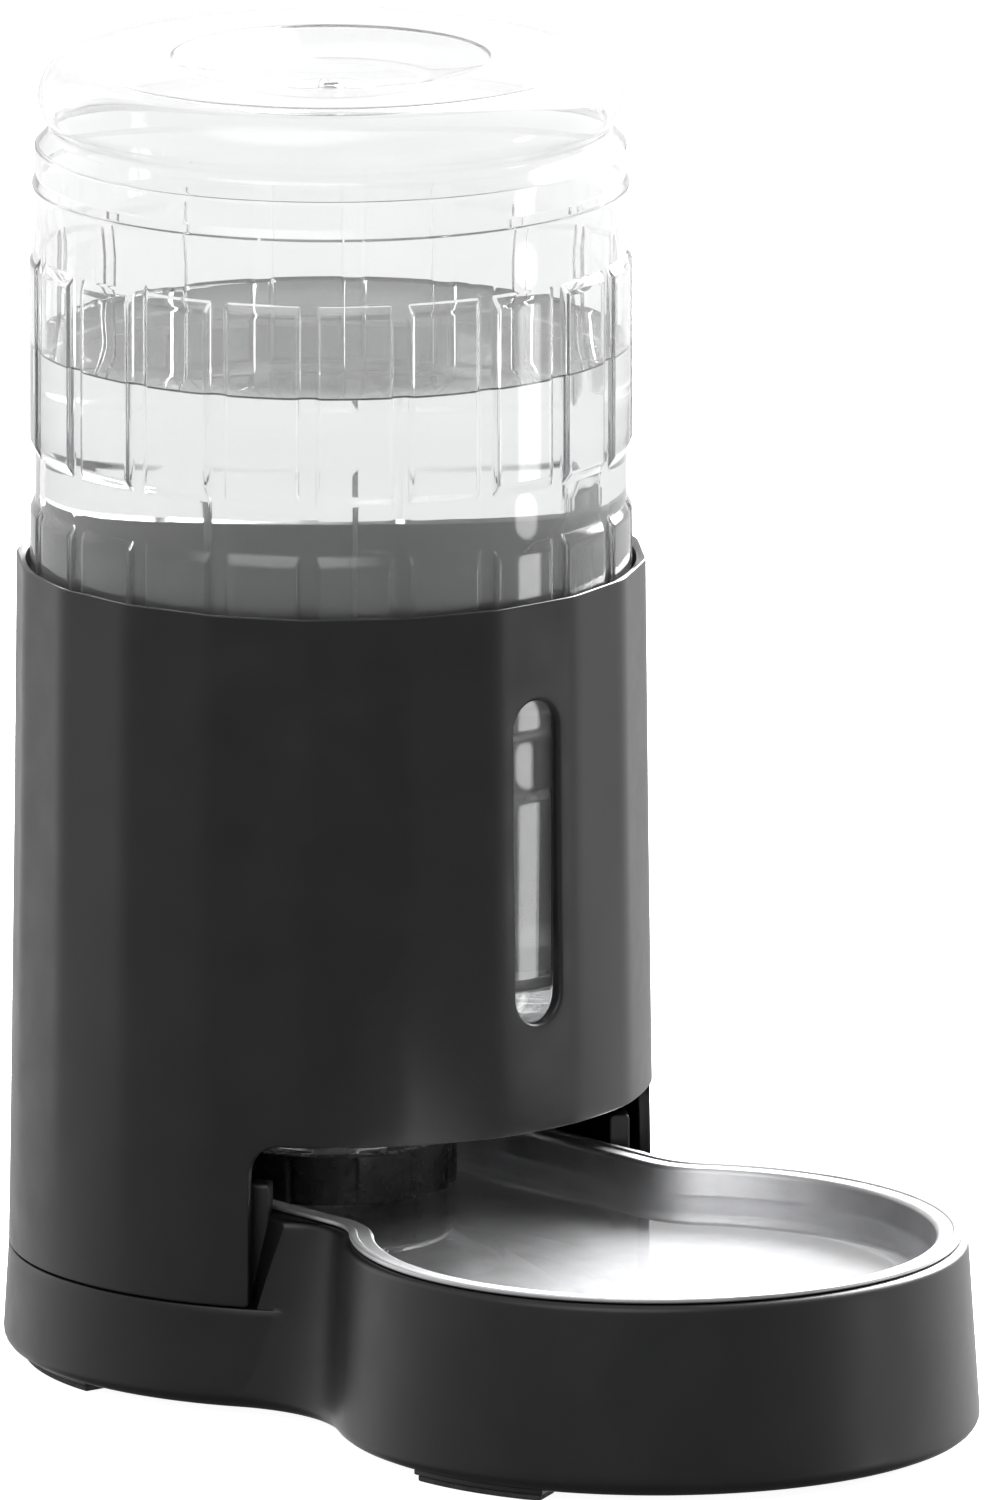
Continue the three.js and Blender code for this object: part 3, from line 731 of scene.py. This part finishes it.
def build_casing():
    """The wall is meshed flat, as angle along x and height along y, and then wrapped."""
    half_turn = 180 * MM_PER_DEGREE
    low, edge = casing_low.z, CUTOUT_HALF_ANGLE * MM_PER_DEGREE
    top_chain = dense([(half_turn, CASING_TOP), (-half_turn, CASING_TOP)], 2.25)
    foot_chain = dense(filleted([
        (-half_turn, low, 0), (-edge, low, 1.4), (-edge, CUTOUT_TOP, CUTOUT_CORNER),
        (edge, CUTOUT_TOP, CUTOUT_CORNER), (edge, low, 1.4), (half_turn, low, 0),
    ], 12), 1.6)
    slot_r = SLOT_WIDTH / 2
    slot_turns = np.linspace(0, 2 * math.pi, 65)[:-1]
    slot_chain = [(-slot_r * math.sin(t),
                   (SLOT_HIGH - slot_r if math.cos(t) >= 0 else SLOT_LOW + slot_r)
                   + slot_r * math.cos(t)) for t in slot_turns]
    slot_chain = dense(slot_chain + [slot_chain[0]], 1.6)[:0:-1]

    # Each edge: its line, the rounding outside and inside, and how far its face leans inward.
    chains = [(top_chain, 0.4, 0.3, RIM_LEAN, False), (foot_chain, 0.7, 0.7, 0, False),
              (slot_chain, 1.1, 1.1, 0, True)]

    bm = bmesh.new()
    flat_points, constraints, outlines = [], [], []
    for points, outer_round, inner_round, lean, closed in chains:
        p, normal = np.array(points), inward(points, closed)
        start = len(flat_points)
        inset = p + normal * (inner_round + lean)
        outlines.append(inset)
        flat_points += list(inset)
        count = len(inset)
        constraints += [(start + i, start + (i + 1) % count)
                        for i in range(count if closed else count - 1)]
        strips = [wrap(inset, 0)] if lean else []
        for t in np.linspace(0, math.pi / 2, 7):
            strips.append(wrap(p + normal * outer_round * (1 - math.sin(t)),
                               outer_round * (1 - math.cos(t))))
        for t in np.linspace(math.pi / 2, 0, 7):
            strips.append(wrap(p + normal * (lean + inner_round * (1 - math.sin(t))),
                               inner_round * (1 - math.cos(t)), True))
        rows = [[bm.verts.new(q * MM) for q in strip] for strip in strips]
        for a, b in zip(rows, rows[1:]):
            for i in range(count if closed else count - 1):
                j = (i + 1) % count
                bm.faces.new((a[i], a[j], b[j], b[i]))

    heights = np.linspace(outlines[1][0][1], outlines[0][0][1], 84)
    for side in (-1, 1):
        start = len(flat_points)
        flat_points += [np.array([side * half_turn, z]) for z in heights]
        constraints += [(start + i, start + i + 1) for i in range(len(heights) - 1)]

    columns = np.arange(-180, 180, 1.5)[1:] * MM_PER_DEGREE
    grid = np.array([(x, z) for z in heights[1:-1] for x in columns])
    gap = np.full(len(grid), np.inf)
    for point in np.vstack(outlines):
        gap = np.minimum(gap, np.hypot(*(grid - point).T))

    wall_edge = np.vstack([outlines[0], outlines[1]])
    slot_edge = outlines[2]

    def in_wall(points):
        return within(points, wall_edge) & ~within(points, slot_edge)

    flat_points += list(grid[(gap > 1.1) & in_wall(grid)])
    made = geometry.delaunay_2d_cdt([Vector(p) for p in flat_points], constraints, [], 1, 1e-5)
    flat = np.array([tuple(v) for v in made[0]])
    triangles = np.array([f for f in made[2] if len(f) == 3])
    triangles = triangles[in_wall(flat[triangles].mean(axis=1))]
    for from_inside in (False, True):
        verts = [bm.verts.new(q * MM) for q in wrap(flat, 0, from_inside)]
        for a, b, c in triangles:
            bm.faces.new((verts[a], verts[b], verts[c]))
    casing = object_from("casing_shell", bm, 45)
    show(casing, PLASTIC, "tower", ["casing"])

    ledge = lathe(rounded_box(74.2, 82.3, 78, 80.5, 0.4), 160)
    show(piece("casing_ledge", ledge, closed=True), PLASTIC, "tower")


# ---- Bottle and its water ------------------------------------------------------------------


def panel_rise(angles, z, radius):
    """Height of the moulded panels: each one has narrow sides and long sloping ends."""
    side_bevel, end_bevel = 1.3, 2.9
    pitch = 360 / PANELS
    per_degree = BAND_R * math.pi / 180
    across = np.abs((angles + pitch / 2) % pitch - pitch / 2) * per_degree
    rise = np.zeros(len(angles))
    half_wide, half_high = PANEL_HALF_ANGLE * per_degree, PANEL_HEIGHT / 2
    for row in range(PANEL_ROWS):
        up = abs(z - (FIRST_PANEL_LOW + row * PANEL_PITCH + half_high))
        if up >= half_high:
            continue
        side = (half_wide - across) / side_bevel
        end = (half_high - up) / end_bevel
        t = np.clip(0.5 * (side + end - np.hypot(side - end, 0.18)) + 0.04, 0, 1)
        rise = np.maximum(rise, (BOTTLE_R - BAND_R - 0.02) * (0.8 * t + 0.2 * t * t * (3 - 2 * t)))
    return rise


def bottle_columns():
    """Angles of the mesh columns, closer together where a panel's bevels run."""
    pitch = 360 / PANELS
    half = [0, 2.2, 4.2, 5.4, 5.9, 6.25, 6.5, 6.7, 6.9, 7.1, 7.3, 7.48, 7.8, 8.4]
    turns = sorted({-t for t in half} | set(half) | {pitch / 2})
    return np.concatenate([np.array(turns) + i * pitch for i in range(PANELS)])


def bottle_heights(low, high):
    """Heights of the mesh rows between the shoulder and the dome."""
    ends = [0.02, 0.3, 0.6, 0.9, 1.2, 1.5, 1.8, 2.2, 2.7, 3.3, 4.6, 7.5, 13, 20]
    rows = {low, high}
    for row in range(PANEL_ROWS):
        start = FIRST_PANEL_LOW + row * PANEL_PITCH
        rows |= {start + e for e in ends} | {start + PANEL_HEIGHT - e for e in ends}
        rows |= {start - 0.4, start + PANEL_HEIGHT + 0.4, start + PANEL_HEIGHT / 2}
        rows |= {start + PANEL_HEIGHT + 4.5, start + PANEL_HEIGHT + 9}
    return sorted(z for z in rows if low <= z <= high)


def bead(radius):
    """The rounded bead round the top, from above the neck to the flat top."""
    turns = np.radians(np.linspace(-30, 90, 25))
    middle_z = BOTTLE_TOP - BEAD_RADIUS
    return [(BEAD_MIDDLE_R + radius * math.cos(t), middle_z + radius * math.sin(t), 0)
            for t in turns]


def outer_profile():
    """Outside of the bottle from the mouth up to the middle of its top."""
    neck = [(26.6, MOUTH_Z, 0), (28.6, MOUTH_Z, 0.5), (28.6, 51.2, 0), (29.5, 52, 0.4),
            (28.6, 52.8, 0), (28.6, 55.2, 0), (29.5, 56, 0.4), (28.6, 56.8, 0), (28.6, 60.7, 0.3),
            (31, 61.3, 0.4), (31.2, 62.2, 0.6), (74.6, 91.6, 8), (BAND_R, 99.5, 5),
            (BAND_R, SHOULDER_TOP, 0)]
    dome = [(BAND_R, BODY_TOP, 0), (79.4, 317.9, 1.0), (78.3, 320.6, 1.0), (78.6, 328.2, 0.15),
            (73.6, 333.1, 2.5), *bead(BEAD_RADIUS), (42.5, BOTTLE_TOP, 2.5),
            (26, 345.5, 16), (12, 343.8, 12), (3.5, 343.6, 0.5), (2.7, 345.3, 1.0),
            (0, 345.8, 0)]
    low = dense(filleted(neck, 8), 3)
    high = dense(filleted(dome, 10), 3)
    body = [(BAND_R, z) for z in bottle_heights(SHOULDER_TOP, BODY_TOP)[1:-1]]
    return [tuple(p) for p in low] + body + [tuple(p) for p in high]


def inner_profile(top=None, grow=0.0):
    """Inside of the bottle from the mouth up, or up to the height top, grown outwards."""
    wall_r = BAND_R - BOTTLE_WALL + grow
    neck = [(26 + grow, MOUTH_Z + 0.2, 0), (26 + grow, 60.4, 1.5), (73.9 + grow, 92.6, 8),
            (wall_r, 99.8, 5), (wall_r, SHOULDER_TOP, 0)]
    dome = [(wall_r, BODY_TOP, 0), (78.0, 317.9, 1.2), (77.1, 320.6, 2), (77.3, 327.7, 1.5),
            (72.3, 332.9, 3.0), *bead(BEAD_RADIUS - BOTTLE_WALL),
            (42.3, BOTTLE_TOP - BOTTLE_WALL, 2),
            (25.5, 344.2, 16), (12, 342.6, 12), (3.2, 342.4, 0.3), (2.0, 344.0, 0.6),
            (0, 344.5, 0)]
    low = [tuple(p) for p in dense(filleted(neck, 8), 3)]
    body = bottle_heights(SHOULDER_TOP, BODY_TOP)[1:-1]
    if top is not None:
        return low + [(wall_r, z) for z in body if z < top - 0.3]
    high = [tuple(p) for p in dense(filleted(dome, 10), 3)]
    return low + [(wall_r, z) for z in body] + high


def build_bottle():
    """The shell, and the water, which reaches a little into the wall and climbs its edge."""
    columns = bottle_columns()
    outside = lathe(outer_profile(), columns, swell=panel_rise)
    inside = lathe(inner_profile(), columns, swell=panel_rise)
    bottle = piece("bottle_shell", outside[::-1] + inside, sharp=75)
    show(bottle, CLEAR, "bottle", ["bottle"])

    into_wall = 0.35
    wall = inner_profile(BOTTLE_WATER_Z, into_wall)
    wall_r = wall[-1][0]
    surface = [(wall_r, BOTTLE_WATER_Z + 0.9), (wall_r - 0.7, BOTTLE_WATER_Z + 0.5),
               (wall_r - 1.3, BOTTLE_WATER_Z + 0.2), (wall_r - 2.2, BOTTLE_WATER_Z),
               (60, BOTTLE_WATER_Z), (30, BOTTLE_WATER_Z), (0, BOTTLE_WATER_Z)]

    def follow(angles, z, radius):
        return panel_rise(angles, z, radius) if radius > wall_r - 2.5 else 0 * angles

    rings = lathe([(0, wall[0][1])] + wall + surface, columns, swell=follow)
    show(piece("bottle_water", rings, sharp=75), WATER, "bottle")


# ---- Cap -----------------------------------------------------------------------------------


def build_cap():
    """Screw cap with upright grooves round its skirt."""
    depth, half_wide, slope = 0.5, 1.6, 0.7

    def groove(angles, z, radius):
        if radius < CAP_R - 0.6 or not cap_low.z + 2.5 < z < cap_high.z - 0.6:
            return 0 * angles
        pitch = 360 / CAP_GROOVES
        turn = np.abs((angles + pitch / 2) % pitch - pitch / 2)
        return -depth * np.clip((half_wide - turn) / slope, 0, 1)

    z0, z1 = cap_low.z, cap_high.z
    section = filleted([
        (7, z0, 0.4), (CAP_R - 1.2, z0, 1.2), (CAP_R - 0.02, z0 + 1.9, 1.2),
        (CAP_R - 0.02, z0 + 2.9, 0), (CAP_R - 0.02, z1 - 0.9, 0), (CAP_R - 0.02, z1, 0.5),
        (30.2, z1, 0.4), (30.2, z0 + 2.5, 0.4), (7, z0 + 2.5, 0.4),
    ], 5, closed=True)
    section = dense(section + [section[0]], 2.5)[:-1]
    rings = lathe(section, 480, swell=groove)
    show(piece("cap_shell", rings, closed=True, sharp=50), GLOSS, "cap",
         ["cap"])


build_tub()
build_feet()
build_pan()
build_bowl_water()
build_casing()
build_bottle()
build_cap()

# ---- Pieces kept from the frame ------------------------------------------------------------

KEPT = {                                  # material and rounding of the edges
    "bottle_cradle": (PLASTIC, 0.5), "cap_gasket": (SILICONE, 0.3), "valve_guide": (WHITE, 0.3),
    "valve_plunger": (WHITE, 0.3), "valve_seal": (SILICONE, 0.3), "stem_tip": (RUBBER, 0.3),
    "valve_spring": (SPRING, 0), "cradle_screw_1": (SCREW, 0.2), "cradle_screw_2": (SCREW, 0.2),
    "cradle_screw_3": (SCREW, 0.2), "cradle_screw_4": (SCREW, 0.2),
}
for name, (material, rounding) in KEPT.items():
    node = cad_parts[name]
    node.data.materials.clear()
    node.data.materials.append(material)
    weld = node.modifiers.new("weld", "WELD")
    weld.merge_threshold = 0.002 * MM
    if rounding:
        round_edges(node, rounding)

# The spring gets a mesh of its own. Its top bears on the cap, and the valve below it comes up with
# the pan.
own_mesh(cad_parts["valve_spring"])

# ---- Studio --------------------------------------------------------------------------------


def build_floor():
    """White paper that glows a little, and isn't seen in gloss or through the bottle."""
    bm = bmesh.new()
    bmesh.ops.create_grid(bm, x_segments=8, y_segments=8, size=FLOOR_HALF_SIZE)
    mesh = bpy.data.meshes.new("studio_floor")
    bm.to_mesh(mesh)
    bm.free()
    floor = bpy.data.objects.new("studio_floor", mesh)
    floor.location.z = -0.0002
    bpy.context.scene.collection.objects.link(floor)
    material = bpy.data.materials.new("studio_paper")
    material.use_nodes = True
    nodes, links = material.node_tree.nodes, material.node_tree.links
    nodes.clear()
    diffuse = nodes.new("ShaderNodeBsdfDiffuse")
    diffuse.inputs["Color"].default_value = (0.9, 0.9, 0.9, 1)
    glow = nodes.new("ShaderNodeEmission")
    glow.inputs["Strength"].default_value = FLOOR_GLOW
    both = nodes.new("ShaderNodeAddShader")
    out = nodes.new("ShaderNodeOutputMaterial")
    links.new(diffuse.outputs[0], both.inputs[0])
    links.new(glow.outputs[0], both.inputs[1])
    links.new(both.outputs[0], out.inputs["Surface"])
    mesh.materials.append(material)
    floor.visible_glossy = False
    floor.visible_transmission = False


def build_world():
    """The studio round the object: dim in front, white behind, and brighter panels of light.
    The camera itself sees plain white."""
    world = bpy.data.worlds.new("studio")
    bpy.context.scene.world = world
    world.use_nodes = True
    nodes, links = world.node_tree.nodes, world.node_tree.links
    nodes.clear()
    place = nodes.new("ShaderNodeTexCoord").outputs["Generated"]

    def facing(direction):
        """Cosine of the angle to that direction."""
        dot = nodes.new("ShaderNodeVectorMath")
        dot.operation = "DOT_PRODUCT"
        dot.inputs[1].default_value = Vector(direction).normalized()
        links.new(place, dot.inputs[0])
        return dot.outputs["Value"]

    def graded(value, start, stop, low, high):
        ramp = nodes.new("ShaderNodeMapRange")
        ramp.interpolation_type = "SMOOTHSTEP"
        for key, number in (("From Min", start), ("From Max", stop), ("To Min", low),
                            ("To Max", high)):
            ramp.inputs[key].default_value = number
        links.new(value, ramp.inputs["Value"])
        return ramp.outputs["Result"]

    def added(a, b):
        node = nodes.new("ShaderNodeMath")
        node.operation = "ADD"
        links.new(a, node.inputs[0])
        links.new(b, node.inputs[1])
        return node.outputs["Value"]

    def blended(fraction, low, high):
        node = nodes.new("ShaderNodeMix")
        links.new(fraction, node.inputs["Factor"])
        links.new(low, node.inputs["A"])
        links.new(high, node.inputs["B"])
        return node.outputs["Result"]

    behind = facing(AWAY_FROM_CAMERA)
    walls = graded(behind, -1.15, 1.1, *WALL_LIGHT)
    sky = graded(behind, -1, 1, *SKY_LIGHT)
    up = facing((0, 0, 1))
    room = blended(graded(up, -0.12, 0.2, 0, 1), walls, sky)
    below = nodes.new("ShaderNodeValue")
    below.outputs[0].default_value = LIGHT_FROM_BELOW
    room = blended(graded(up, -0.6, -0.4, 0, 1), below.outputs[0], room)
    for direction, narrow, soft, strength in PANELS_OF_LIGHT:
        panel = graded(facing(direction), math.cos(math.radians(narrow + soft)),
                       math.cos(math.radians(narrow)), 0, strength)
        room = added(room, panel)

    lit = nodes.new("ShaderNodeBackground")
    links.new(room, lit.inputs["Color"])
    white = nodes.new("ShaderNodeBackground")
    white.inputs["Color"].default_value = (1, 1, 1, 1)
    ray = nodes.new("ShaderNodeLightPath")
    mix = nodes.new("ShaderNodeMixShader")
    out = nodes.new("ShaderNodeOutputWorld")
    links.new(ray.outputs["Is Camera Ray"], mix.inputs["Fac"])
    links.new(lit.outputs[0], mix.inputs[1])
    links.new(white.outputs[0], mix.inputs[2])
    links.new(mix.outputs[0], out.inputs["Surface"])


FLOOR_HALF_SIZE = 60.0
FLOOR_GLOW = 0.93
LIGHT_FROM_BELOW = 0.13
AWAY_FROM_CAMERA = (0.653, 0.757, 0)
WALL_LIGHT = (0.20, 1.03)            # round the horizon, in front and behind
SKY_LIGHT = (0.35, 1.0)              # overhead, in front and behind
PANELS_OF_LIGHT = [                  # direction, half width and fall-off in degrees, strength
    ((0.8365, 0.2241, 0.50), 14, 15, 40.0),
    ((-0.21, 0.98, 0.25), 8, 20, 0.5),
    ((-0.70, -0.37, 0.62), 15, 22, 1.6),
    ((0.654, -0.726, -0.215), 4, 2, 3.5),
]

AZIMUTH, ELEVATION = math.radians(-40.82), math.radians(12.43)
DISTANCE = 11.5
FIELD_HEIGHT = 0.3988                # what the picture's height covers at the aim
SENSOR = 36
AIM = Vector((0.0325, TOWER_Y * MM - 0.02795, 0.1634))


def build_camera():
    back = Vector((math.sin(AZIMUTH) * math.cos(ELEVATION),
                   -math.cos(AZIMUTH) * math.cos(ELEVATION), math.sin(ELEVATION)))
    data = bpy.data.cameras.new("camera")
    data.sensor_width = SENSOR
    data.lens = SENSOR * DISTANCE / FIELD_HEIGHT
    data.clip_start, data.clip_end = 0.1, 200
    camera = bpy.data.objects.new("camera", data)
    camera.location = AIM + back * DISTANCE
    camera.rotation_mode = "QUATERNION"
    camera.rotation_quaternion = (-back).to_track_quat("-Z", "Y")
    bpy.context.scene.collection.objects.link(camera)
    bpy.context.scene.camera = camera


build_floor()
build_world()
build_camera()

settings = bpy.context.scene.view_settings
settings.view_transform = "Standard"
cycles = bpy.context.scene.cycles
cycles.use_denoising = True
cycles.max_bounces = 24
cycles.transmission_bounces = 20
cycles.glossy_bounces = 8
cycles.transparent_max_bounces = 16
